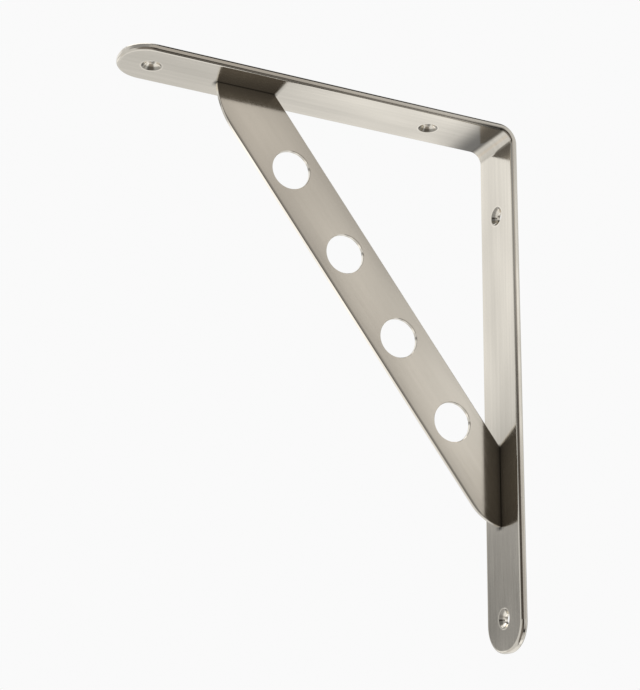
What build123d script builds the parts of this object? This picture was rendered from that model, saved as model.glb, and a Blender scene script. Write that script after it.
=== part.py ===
"""Welded steel shelf bracket.

A flat bar, bent once, makes both arms. A plate stands on edge across the corner as a brace.
The face that goes on the wall lies in the plane x = 0. +X runs out under the shelf, Y runs
across the bar and +Z is up. The origin is on the wall face, midway between the wall screws.
All sizes are in millimetres.
"""
import os
from math import atan2, cos, degrees, sin

from build123d import *

# Bar that makes both arms
bar_width = 30.8
bar_thickness = 3.7
shelf_arm_length = 204.6
wall_arm_length = 261.1
bend_inner_radius = 6.0
end_flat_width = 2.8
bar_edge_round = 1.3

# Screw holes, countersunk from the inside of the corner
end_hole_from_tip = 15.9
shelf_hole_from_wall = 42.7
wall_hole_from_shelf = 43.9
screw_hole_diameter = 5.0
countersink_diameter = 9.4
countersink_angle = 90.0
countersink_rim_round = 0.8

# Brace plate: its inner corners are measured from the wall face and from the shelf face
brace_thickness = 2.1
brace_width = 30.2
brace_from_wall = 125.8
brace_from_shelf = 162.9
brace_off_centre = 1.8
brace_edge_round = 0.35
lightening_rim_break = 0.2

# Rounding of the plate's two outer corners: how far it starts up the outer edge,
# and how much shorter it makes each foot
shelf_foot_round_run = 28.0
shelf_foot_round_cut = 8.2
wall_foot_round_run = 25.2
wall_foot_round_cut = 10.4

# Lightening holes along the middle of the brace plate
lightening_hole_count = 4
lightening_hole_diameter = 19.4
lightening_hole_pitch = 47.4
lightening_row_shift = 2.2

# Levels that follow from the sizes above
upper_wall_screw_depth = wall_hole_from_shelf
lower_wall_screw_depth = wall_arm_length - end_hole_from_tip
shelf_face_z = (upper_wall_screw_depth + lower_wall_screw_depth) / 2
underside_z = shelf_face_z - bar_thickness
foot_z = shelf_face_z - wall_arm_length
end_corner_round = (bar_width - end_flat_width) / 2
bend_outer_radius = bend_inner_radius + bar_thickness

# Bent bar
with BuildPart() as bar:
    # The bend, drawn along the outer faces and thickened towards the inside of the corner
    with BuildSketch(Plane.XZ):
        with BuildLine():
            FilletPolyline(
                (0, foot_z),
                (0, shelf_face_z),
                (shelf_arm_length, shelf_face_z),
                radius=bend_outer_radius,
            )
            offset(amount=bar_thickness, side=Side.RIGHT)
        make_face()
    extrude(amount=bar_width / 2, both=True)

    # Both ends are rounded, but for a short flat at the tip
    shelf_arm_corners = bar.edges().filter_by(Axis.Z).group_by(Axis.X)[-1]
    wall_arm_corners = bar.edges().filter_by(Axis.X).group_by(Axis.Z)[0]
    fillet(shelf_arm_corners + wall_arm_corners, radius=end_corner_round)

    # Every edge of the bar is rounded, all the way round both faces
    arm_faces = bar.faces().filter_by(Axis.X) + bar.faces().filter_by(Axis.Z)
    fillet(arm_faces.edges().filter_by(Axis.Y, reverse=True), radius=bar_edge_round)

    # Shelf screws enter from below
    with Locations(
        Plane(origin=(shelf_hole_from_wall, 0, underside_z), z_dir=(0, 0, -1)),
        Plane(origin=(shelf_arm_length - end_hole_from_tip, 0, underside_z), z_dir=(0, 0, -1)),
    ):
        CounterSinkHole(
            radius=screw_hole_diameter / 2,
            counter_sink_radius=countersink_diameter / 2,
            counter_sink_angle=countersink_angle,
        )

    # Wall screws enter from the side that faces the room
    with Locations(
        Plane(origin=(bar_thickness, 0, shelf_face_z - upper_wall_screw_depth), z_dir=(1, 0, 0)),
        Plane(origin=(bar_thickness, 0, shelf_face_z - lower_wall_screw_depth), z_dir=(1, 0, 0)),
    ):
        CounterSinkHole(
            radius=screw_hole_diameter / 2,
            counter_sink_radius=countersink_diameter / 2,
            counter_sink_angle=countersink_angle,
        )

    # The countersinks' rims are eased
    rims = bar.edges().filter_by(GeomType.CIRCLE).filter_by(
        lambda edge: abs(edge.radius - countersink_diameter / 2) < 1e-4
    )
    fillet(rims, radius=countersink_rim_round)

bar.part.label = "bent_bar"

# Brace plate outline, in X and Z
inner_on_shelf = Vector(brace_from_wall, underside_z)
inner_on_wall = Vector(bar_thickness, shelf_face_z - brace_from_shelf)
brace_run = inner_on_wall - inner_on_shelf
brace_slope = atan2(-brace_run.Y, -brace_run.X)
down_the_brace = brace_run.normalized()
outer_on_shelf = inner_on_shelf + Vector(brace_width / sin(brace_slope), 0)
outer_on_wall = inner_on_wall - Vector(0, brace_width / cos(brace_slope))
shelf_foot_end = outer_on_shelf - Vector(shelf_foot_round_cut, 0)
wall_foot_end = outer_on_wall + Vector(0, wall_foot_round_cut)
edge_top = outer_on_shelf + down_the_brace * shelf_foot_round_run
edge_bottom = outer_on_wall - down_the_brace * wall_foot_round_run
hole_row_middle = (
    (inner_on_shelf + inner_on_wall + outer_on_shelf + outer_on_wall) / 4
    + down_the_brace * lightening_row_shift
)

# Brace plate, standing on edge with both feet against the bar
with BuildPart() as brace:
    with BuildSketch(Plane.XZ.offset(brace_off_centre)):
        with BuildLine():
            Polyline(shelf_foot_end, inner_on_shelf, inner_on_wall, wall_foot_end)
            TangentArc(edge_bottom, wall_foot_end, tangent=down_the_brace)
            Line(edge_bottom, edge_top)
            TangentArc(edge_top, shelf_foot_end, tangent=-down_the_brace)
        make_face()
        with Locations(Location(hole_row_middle, degrees(brace_slope))):
            with GridLocations(lightening_hole_pitch, 0, lightening_hole_count, 1):
                Circle(lightening_hole_diameter / 2, mode=Mode.SUBTRACT)
    extrude(amount=brace_thickness / 2, both=True)

    # The plate's long edges are rounded and the rims of its holes are broken,
    # but not the feet that meet the bar
    face_edges = brace.faces().filter_by(Axis.Y).edges()
    free_edges = face_edges.filter_by(Axis.X, reverse=True).filter_by(Axis.Z, reverse=True)
    hole_rims = free_edges.filter_by(lambda edge: edge.is_closed)
    long_edges = free_edges.filter_by(lambda edge: not edge.is_closed)
    fillet(long_edges, radius=brace_edge_round)
    chamfer(hole_rims, length=lightening_rim_break)

brace.part.label = "brace_plate"

os.makedirs("parts", exist_ok=True)
export_step(bar.part, "parts/bent_bar.step")
export_step(brace.part, "parts/brace_plate.step")
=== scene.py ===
"""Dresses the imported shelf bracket: a satin nickel finish on welded flat steel, in a plain studio."""
from math import cos, radians, sin

import bpy
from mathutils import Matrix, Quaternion, Vector


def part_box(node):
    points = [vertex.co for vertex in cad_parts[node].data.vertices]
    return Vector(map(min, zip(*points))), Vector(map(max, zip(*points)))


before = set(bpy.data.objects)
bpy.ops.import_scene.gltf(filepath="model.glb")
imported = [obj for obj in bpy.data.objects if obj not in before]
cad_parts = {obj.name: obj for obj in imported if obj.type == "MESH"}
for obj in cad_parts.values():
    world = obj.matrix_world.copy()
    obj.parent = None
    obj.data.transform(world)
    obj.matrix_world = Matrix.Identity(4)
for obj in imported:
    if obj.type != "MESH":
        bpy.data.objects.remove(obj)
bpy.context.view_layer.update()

# Bent bar
# One flat steel bar, brushed along its length, bent once into both arms and plated in satin nickel.
# Screws through its four countersinks hold it to the wall and to the shelf.
NICKEL = (0.70, 0.66, 0.585)
ROUGHNESS_RANGE = (0.07, 0.19)
CLOUDS = 0.08
BUMP_STRENGTH = 0.1
BUMP_HEIGHT = 0.00001
RIM_START = 0.84
RIM_FULL = 0.95
_, bar_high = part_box("bent_bar")
plate_low, plate_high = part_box("brace_plate")


def brushed_group():
    """Node group: lines, streaks and clouds along one direction, and masks for the middle and the rim,
    where painted reflection and shade go.

    Along and Across are distances in metres, and Across is measured from the middle of the face.
    The rim starts and is full at the shares of the half width, squared, that are given above.
    """
    group = bpy.data.node_groups.new("brushed nickel", "ShaderNodeTree")
    for name in ("Along", "Across", "Half Width"):
        group.interface.new_socket(name, in_out="INPUT", socket_type="NodeSocketFloat")
    for name in ("Lines", "Streaks", "Clouds", "Middle", "Rim"):
        group.interface.new_socket(name, in_out="OUTPUT", socket_type="NodeSocketFloat")
    nodes, links = group.nodes, group.links
    entry = nodes.new("NodeGroupInput")
    leave = nodes.new("NodeGroupOutput")
    place = nodes.new("ShaderNodeCombineXYZ")
    links.new(entry.outputs["Along"], place.inputs["X"])
    links.new(entry.outputs["Across"], place.inputs["Y"])
    # Repeats in each metre, along and across, and how much finer noise each pattern holds
    for name, along, across, detail in (
        ("Lines", 45, 5200, 3),
        ("Streaks", 7, 420, 1),
        ("Clouds", 16, 45, 1),
    ):
        stretch = nodes.new("ShaderNodeMapping")
        stretch.inputs["Scale"].default_value = (along, across, 1)
        links.new(place.outputs["Vector"], stretch.inputs["Vector"])
        noise = nodes.new("ShaderNodeTexNoise")
        noise.inputs["Scale"].default_value = 1
        noise.inputs["Detail"].default_value = detail
        links.new(stretch.outputs["Vector"], noise.inputs["Vector"])
        links.new(noise.outputs["Fac"], leave.inputs[name])
    share = nodes.new("ShaderNodeMath")
    share.operation = "DIVIDE"
    links.new(entry.outputs["Across"], share.inputs[0])
    links.new(entry.outputs["Half Width"], share.inputs[1])
    square = nodes.new("ShaderNodeMath")
    square.operation = "MULTIPLY"
    links.new(share.outputs["Value"], square.inputs[0])
    links.new(share.outputs["Value"], square.inputs[1])
    middle = nodes.new("ShaderNodeMath")
    middle.operation = "SUBTRACT"
    middle.use_clamp = True
    middle.inputs[0].default_value = 1
    links.new(square.outputs["Value"], middle.inputs[1])
    links.new(middle.outputs["Value"], leave.inputs["Middle"])
    rim = nodes.new("ShaderNodeMapRange")
    rim.interpolation_type = "SMOOTHSTEP"
    rim.inputs["From Min"].default_value = RIM_START
    rim.inputs["From Max"].default_value = RIM_FULL
    links.new(square.outputs["Value"], rim.inputs["Value"])
    links.new(rim.outputs["Result"], leave.inputs["Rim"])
    return group


brushed = brushed_group()


def satin_nickel(
    name, along, across, middle, half_width, painted_edge_tone, painted_middle_tone, painted_rim_tone, streaks, painted_light
):
    """Satin nickel, brushed along one direction, with painted reflection and painted shade in its tone at
    the edges, middle and rim of its face.

    Each painted shade is a depth, which makes a painted highlight if it is negative, and then the limits
    that bound it.
    A limit is a bound, the place where the shade starts and the place where it is full. A bound is an
    axis, or Across for the distance from the middle of the face, or the centre of a round hole, with None
    for the axis along which the hole runs.
    """
    material = bpy.data.materials.new(name)
    material.use_nodes = True
    nodes, links = material.node_tree.nodes, material.node_tree.links
    shader = nodes["Principled BSDF"]
    shader.inputs["Metallic"].default_value = 1.0
    where = nodes.new("ShaderNodeTexCoord")
    grain = nodes.new("ShaderNodeGroup")
    grain.node_tree = brushed
    grain.inputs["Half Width"].default_value = half_width
    place = nodes.new("ShaderNodeSeparateXYZ")
    links.new(where.outputs["Object"], place.inputs["Vector"])

    def distance(direction, start):
        dot = nodes.new("ShaderNodeVectorMath")
        dot.operation = "DOT_PRODUCT"
        links.new(where.outputs["Object"], dot.inputs[0])
        dot.inputs[1].default_value = direction
        shift = nodes.new("ShaderNodeMath")
        shift.operation = "SUBTRACT"
        links.new(dot.outputs["Value"], shift.inputs[0])
        shift.inputs[1].default_value = start
        return shift.outputs["Value"]

    def spread(source, low, high, start=0.3, stop=0.7):
        ramp = nodes.new("ShaderNodeMapRange")
        ramp.inputs["From Min"].default_value = start
        ramp.inputs["From Max"].default_value = stop
        ramp.inputs["To Min"].default_value = low
        ramp.inputs["To Max"].default_value = high
        links.new(source, ramp.inputs["Value"])
        return ramp.outputs["Result"]

    def product(first, second):
        times = nodes.new("ShaderNodeMath")
        times.operation = "MULTIPLY"
        links.new(first, times.inputs[0])
        links.new(second, times.inputs[1])
        return times.outputs["Value"]

    def distance_from_hole(centre):
        flat = nodes.new("ShaderNodeVectorMath")
        flat.operation = "MULTIPLY"
        links.new(where.outputs["Object"], flat.inputs[0])
        flat.inputs[1].default_value = [0 if value is None else 1 for value in centre]
        reach = nodes.new("ShaderNodeVectorMath")
        reach.operation = "DISTANCE"
        links.new(flat.outputs["Vector"], reach.inputs[0])
        reach.inputs[1].default_value = [0 if value is None else value for value in centre]
        return reach.outputs["Value"]

    def shade(depth, *limits):
        inside = None
        for bound, start, full in limits:
            ramp = nodes.new("ShaderNodeMapRange")
            ramp.interpolation_type = "SMOOTHSTEP"
            ramp.inputs["From Min"].default_value = start
            ramp.inputs["From Max"].default_value = full
            if bound == "Across":
                source = distance(across, middle)
            elif isinstance(bound, str):
                source = place.outputs[bound]
            else:
                source = distance_from_hole(bound)
            links.new(source, ramp.inputs["Value"])
            inside = product(inside, ramp.outputs["Result"]) if inside else ramp.outputs["Result"]
        return spread(inside, 1, 1 - depth, start=0, stop=1)

    links.new(distance(along, 0), grain.inputs["Along"])
    links.new(distance(across, middle), grain.inputs["Across"])
    streaked = spread(grain.outputs["Streaks"], 1 - streaks, 1 + streaks)
    clouded = spread(grain.outputs["Clouds"], 1 - CLOUDS, 1 + CLOUDS)
    tone = product(streaked, clouded)
    # Painted reflection in the tone at the middle and edges of the face, and painted shade at the rim
    tone = product(tone, spread(grain.outputs["Middle"], painted_edge_tone, painted_middle_tone, start=0, stop=1))
    tone = product(tone, spread(grain.outputs["Rim"], 1, painted_rim_tone, start=0, stop=1))
    # Painted shades, and painted highlights where the depth is negative
    for depth, *limits in painted_light:
        tone = product(tone, shade(depth, *limits))
    colour = nodes.new("ShaderNodeVectorMath")
    colour.operation = "SCALE"
    colour.inputs[0].default_value = NICKEL
    links.new(tone, colour.inputs["Scale"])
    links.new(colour.outputs["Vector"], shader.inputs["Base Color"])
    links.new(spread(grain.outputs["Lines"], *ROUGHNESS_RANGE), shader.inputs["Roughness"])
    bump = nodes.new("ShaderNodeBump")
    bump.inputs["Strength"].default_value = BUMP_STRENGTH
    bump.inputs["Distance"].default_value = BUMP_HEIGHT
    links.new(grain.outputs["Lines"], bump.inputs["Height"])
    links.new(bump.outputs["Normal"], shader.inputs["Normal"])
    return material


# A mark on the underside or on the wall arm's inner face ends a little way into the bar
SKIN_END = 0.0018
SKIN_FULL = 0.0006
inner_wall_face = plate_low.x
underside = plate_high.z
near_side_of_plate = plate_high.y
far_side_of_plate = plate_low.y
on_underside = ("Z", underside + SKIN_END, underside + SKIN_FULL)
on_wall_arm = ("X", inner_wall_face - SKIN_END, inner_wall_face - SKIN_FULL)

# Where the plate's feet meet the bar: painted shade in a thin dark seam, and a wider painted shade on the
# near side of the plate
SHELF_FOOT_START = 0.1258
WALL_FOOT_START = -0.01835
FOOT_BLUR = 0.002
SEAM = 0.0005
CRACK_SHADE = 0.005
BEHIND_PLATE = 0.004
along_shelf_foot = (
    ("X", SHELF_FOOT_START - FOOT_BLUR, SHELF_FOOT_START),
    ("X", plate_high.x + FOOT_BLUR, plate_high.x),
)
along_wall_foot = (
    ("Z", WALL_FOOT_START + FOOT_BLUR, WALL_FOOT_START),
    ("Z", plate_low.z - FOOT_BLUR, plate_low.z),
)
seam_beside_plate = (
    ("Y", near_side_of_plate + SEAM, near_side_of_plate),
    ("Y", far_side_of_plate - SEAM, far_side_of_plate),
)
behind_plate = ("Y", far_side_of_plate - BEHIND_PLATE, far_side_of_plate)
near_half = (("Y", bar_high.y, near_side_of_plate), behind_plate)
near_crack = (("Y", near_side_of_plate + CRACK_SHADE, near_side_of_plate), behind_plate)

# The shelf arm is darkened towards the bend, and the wall arm's lower end towards the far side of the bar,
# both in painted shade
clear_of_bend = ("X", 0.006, 0.0095)
towards_bend = ("X", 0.040, 0.009)
beside_bend = ("X", 0.026, 0.013)
far_side_of_bar = ("Y", 0.008, -0.012)
low_on_wall_arm = ("Z", -0.045, -0.065)

# The countersinks, in painted light: a painted highlight in the cone with a painted shade in a dark
# crescent inside its rim, thick on the far side, and a painted highlight in a ring outside the rim. The
# cone ends at a depth under the face of the bar. The crescent, the ring and the rim of the cone are given
# by distances from the middle of the hole.
SHELF_HOLES = (0.0427, 0.1887)
WALL_HOLES = (-0.10065, 0.10065)
CONE_END = 0.0030
CONE_FULL = 0.0024
CRESCENT_SHIFT = 0.0006
CRESCENT_INSIDE = (0.0035, 0.0042)
CRESCENT_OUTSIDE = (0.0050, 0.0046)
RING_INSIDE = (0.0047, 0.0050)
RING_OUTSIDE = (0.0058, 0.0052)
CONE_OUTSIDE = (0.0048, 0.0044)
in_shelf_cone = ("Z", underside + CONE_END, underside + CONE_FULL)
in_wall_cone = ("X", inner_wall_face - CONE_END, inner_wall_face - CONE_FULL)
hole_places = [((x, 0, None), (x, CRESCENT_SHIFT, None), in_shelf_cone) for x in SHELF_HOLES]
hole_places += [((None, 0, z), (None, CRESCENT_SHIFT, z), in_wall_cone) for z in WALL_HOLES]
countersink_painted_light = []
for centre, shifted_centre, in_cone in hole_places:
    # Each hole: painted shade in the crescent, a painted highlight in the ring and a painted highlight in
    # the cone
    countersink_painted_light.append((0.6, (shifted_centre, *CRESCENT_INSIDE), (centre, *CRESCENT_OUTSIDE), in_cone))
    countersink_painted_light.append((-0.15, (centre, *RING_INSIDE), (centre, *RING_OUTSIDE), in_cone))
    countersink_painted_light.append((-0.35, (centre, *CONE_OUTSIDE), in_cone))

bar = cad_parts["bent_bar"]
bar_finish = satin_nickel(
    "satin nickel bar",
    along=(1, 0, -1),
    across=(0, 1, 0),
    middle=0,
    half_width=bar_high.y,
    # Painted reflection: edges a little brighter than the middle, and painted shade at the rim
    painted_edge_tone=1.02,
    painted_middle_tone=0.98,
    painted_rim_tone=0.86,
    streaks=0.04,
    painted_light=(
        *countersink_painted_light,
        # Painted shade on the shelf arm's underside towards the bend, and on the wall arm's lower end
        (0.52, towards_bend, clear_of_bend, on_underside),
        (0.66, beside_bend, clear_of_bend, on_underside),
        (0.14, far_side_of_bar, low_on_wall_arm, on_wall_arm),
        # Painted shade beside the plate's feet, and in the seam where they meet the bar
        (0.45, *along_shelf_foot, *near_half, on_underside),
        (0.60, *along_shelf_foot, *seam_beside_plate, on_underside),
        (0.45, *along_wall_foot, *near_crack, on_wall_arm),
        (0.60, *along_wall_foot, *seam_beside_plate, on_wall_arm),
    ),
)
bar.data.materials.clear()
bar.data.materials.append(bar_finish)

# Brace plate
# A flat steel plate on edge, pierced with four round holes and welded to both arms by its feet. It has
# the same plating and was brushed along its own slope, and a painted reflection makes its middle brighter
# than its edges.
PLATE_SLOPE = radians(52.5)
PLATE_HALF_WIDTH = 0.0151
PLATE_MIDDLE = -0.0292
EDGE_ROUND = 0.0004
FOOT_SEAM = 0.0007
FOOT_SHADE = 0.012
beside_lower_edge = ("Across", -0.0135, -0.0144)
lower_edge = ("Across", -0.0146, -0.0151)
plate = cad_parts["brace_plate"]
plate_finish = satin_nickel(
    "satin nickel plate",
    along=(cos(PLATE_SLOPE), 0, sin(PLATE_SLOPE)),
    across=(-sin(PLATE_SLOPE), 0, cos(PLATE_SLOPE)),
    middle=PLATE_MIDDLE,
    half_width=PLATE_HALF_WIDTH,
    # Painted reflection: the middle brighter than the edges
    painted_edge_tone=0.86,
    painted_middle_tone=1.1,
    painted_rim_tone=1.0,
    streaks=0.015,
    painted_light=(
        # Painted shade beside the lower arris, and a painted highlight on the lower edge face
        (0.4, beside_lower_edge, ("Y", near_side_of_plate - EDGE_ROUND, near_side_of_plate)),
        (-0.25, lower_edge, ("Y", near_side_of_plate, near_side_of_plate - EDGE_ROUND)),
        # Painted shade at the plate's feet, where they meet the bar
        (0.6, ("Z", underside - FOOT_SEAM, underside)),
        (0.6, ("X", inner_wall_face + FOOT_SEAM, inner_wall_face)),
        (0.3, ("X", inner_wall_face + FOOT_SHADE, inner_wall_face)),
    ),
)
plate.data.materials.clear()
plate.data.materials.append(plate_finish)

# Floor
# Plain, pale and wide, below the bracket and below the camera. The metal doesn't mirror it.
FLOOR_DROP = 0.32
FLOOR_SIZE = 60.0
FLOOR_COLOUR = (0.8, 0.8, 0.79, 1)
FLOOR_ROUGHNESS = 0.9
bpy.ops.mesh.primitive_plane_add(size=FLOOR_SIZE, location=(0, 0, -FLOOR_DROP))
floor = bpy.context.active_object
floor.name = "floor"
floor.visible_glossy = False
floor_paint = bpy.data.materials.new("floor paint")
floor_paint.use_nodes = True
floor_shader = floor_paint.node_tree.nodes["Principled BSDF"]
floor_shader.inputs["Base Color"].default_value = FLOOR_COLOUR
floor_shader.inputs["Roughness"].default_value = FLOOR_ROUGHNESS
floor.data.materials.append(floor_paint)

# Studio
# The camera sees a plain white background, and the floor is lit by a plain room. The metal mirrors a
# soft white room, which is dark low down behind the camera and in a few gaps between its cards.
ROOM = 0.8
BACKGROUND = 0.955
world = bpy.data.worlds.new("studio")
bpy.context.scene.world = world
world.use_nodes = True
sky, sky_links = world.node_tree.nodes, world.node_tree.links
sky.clear()
ray = sky.new("ShaderNodeTexCoord")


def panel(under, azimuth, elevation, inner, outer, level, warm):
    """Paints a round soft patch over the room: full to the inner angle, gone at the outer, in degrees.

    Azimuth turns from +X towards +Y, and elevation is above the horizon.
    """
    turn, rise = radians(azimuth), radians(elevation)
    dot = sky.new("ShaderNodeVectorMath")
    dot.operation = "DOT_PRODUCT"
    sky_links.new(ray.outputs["Generated"], dot.inputs[0])
    dot.inputs[1].default_value = (cos(turn) * cos(rise), sin(turn) * cos(rise), sin(rise))
    edge = sky.new("ShaderNodeMapRange")
    edge.interpolation_type = "SMOOTHSTEP"
    edge.inputs["From Min"].default_value = cos(radians(outer))
    edge.inputs["From Max"].default_value = cos(radians(inner))
    sky_links.new(dot.outputs["Value"], edge.inputs["Value"])
    mix = sky.new("ShaderNodeMix")
    mix.data_type = "RGBA"
    sky_links.new(edge.outputs["Result"], mix.inputs["Factor"])
    if under is None:
        mix.inputs["A"].default_value = (ROOM, ROOM, ROOM, 1)
    else:
        sky_links.new(under, mix.inputs["A"])
    mix.inputs["B"].default_value = (level * (1 + warm), level, level * (1 - warm), 1)
    return mix.outputs["Result"]


# Azimuth, elevation, inner angle, outer angle, level and warmth of each patch
surround = None
for card in (
    # The ceiling, and two dark gaps above the camera that draw a line along the upper arris
    (0, 90, 20, 45, 0.5, 0),
    (40, 52, 26, 48, 0.35, 0),
    (165, 70, 14, 28, 0, 0),
    (118, 47, 6, 16, 0, 0),
    # The camera's side, which the plate's face and the near edges of the arms mirror
    (155, 12, 15, 30, 0.88, 0),
    (97, 25, 12, 24, 0.58, 0.05),
    (115, 12, 5, 11, 0.52, 0.05),
    # The dark part low down behind the camera
    (75, -32, 36, 54, 0.22, 0.1),
    (107, -30, 10, 18, 0.13, 0.1),
    (96, -6, 12, 20, 0, 0.1),
    # A dark band round the room side, which the plate's feet and the bar beside them mirror, and one
    # small bright card next to it, for the near edges of both arms
    *((azimuth, 10.5, 6, 10, 0.085, 0.12) for azimuth in (92, 80, 68, 56, 44, 32, 20)),
    (124, 18, 2, 6, 1.25, 0),
    # Light and dark cards for the lower arris of the shelf arm and the round end of the wall arm
    (150, -68, 8, 18, 0.03, 0),
    (168, -54, 5, 12, 1.3, 0),
    (127, -28, 3, 8, 0.05, 0),
    (4, 15, 4, 12, 0.3, 0),
    # The far side, which the bend, the corner and the countersinks mirror
    (-67, -12, 6, 12, 1.4, 0),
    (-55, -27, 6, 12, 0.78, 0.05),
    (-59, 10.5, 3, 6.5, 0.28, 0),
    (-148, 0, 8, 22, 0.1, 0),
    # The bright cards that the shelf arm's underside and the wall arm's inner face mirror
    (-115, -50, 18, 36, 1.05, 0),
    (-118, -26, 4, 12, 1.0, 0),
    (-106, -27, 3, 10, 0.75, 0),
    (-72, 26, 10, 22, 1.05, 0),
):
    surround = panel(surround, *card)
light_path = sky.new("ShaderNodeLightPath")
plain = sky.new("ShaderNodeMix")
plain.data_type = "RGBA"
sky_links.new(light_path.outputs["Is Diffuse Ray"], plain.inputs["Factor"])
sky_links.new(surround, plain.inputs["A"])
plain.inputs["B"].default_value = (ROOM, ROOM, ROOM, 1)
seen = sky.new("ShaderNodeMix")
seen.data_type = "RGBA"
sky_links.new(light_path.outputs["Is Camera Ray"], seen.inputs["Factor"])
sky_links.new(plain.outputs["Result"], seen.inputs["A"])
seen.inputs["B"].default_value = (BACKGROUND, BACKGROUND, BACKGROUND, 1)
background = sky.new("ShaderNodeBackground")
sky_links.new(seen.outputs["Result"], background.inputs["Color"])
output = sky.new("ShaderNodeOutputWorld")
sky_links.new(background.outputs["Background"], output.inputs["Surface"])

# A large soft lamp overhead gives the floor its shadow
LAMP_PLACE = Vector((0.6, -0.3, 1.6))
LAMP_AIM = Vector((0.1, 0, 0))
LAMP_SIZE = 1.4
LAMP_POWER = 9.0
bpy.ops.object.light_add(type="AREA", location=LAMP_PLACE)
lamp = bpy.context.active_object
lamp.name = "overhead softbox"
lamp.data.size = LAMP_SIZE
lamp.data.energy = LAMP_POWER
lamp.rotation_euler = (LAMP_AIM - LAMP_PLACE).to_track_quat("-Z", "Y").to_euler()

# Camera
# Below and in front of the bracket, on the room side, fitted to the edges of the photograph.
# The sensor spans the longer side of the image, which is its height.
CAMERA_PLACE = Vector((0.3913, 0.6312, -0.2050))
CAMERA_LOOKS = Vector((-0.39889, -0.86453, 0.30574))
CAMERA_ROLL = radians(0.98)
FOCAL_PIXELS = 1578.4
IMAGE_HEIGHT = 690
SENSOR = 36.0
bpy.ops.object.camera_add(location=CAMERA_PLACE)
camera = bpy.context.active_object
camera.data.sensor_width = SENSOR
camera.data.lens = SENSOR * FOCAL_PIXELS / IMAGE_HEIGHT
turn = CAMERA_LOOKS.to_track_quat("-Z", "Y") @ Quaternion((0, 0, 1), CAMERA_ROLL)
camera.rotation_euler = turn.to_euler()
bpy.context.scene.camera = camera
bpy.context.scene.view_settings.view_transform = "Standard"
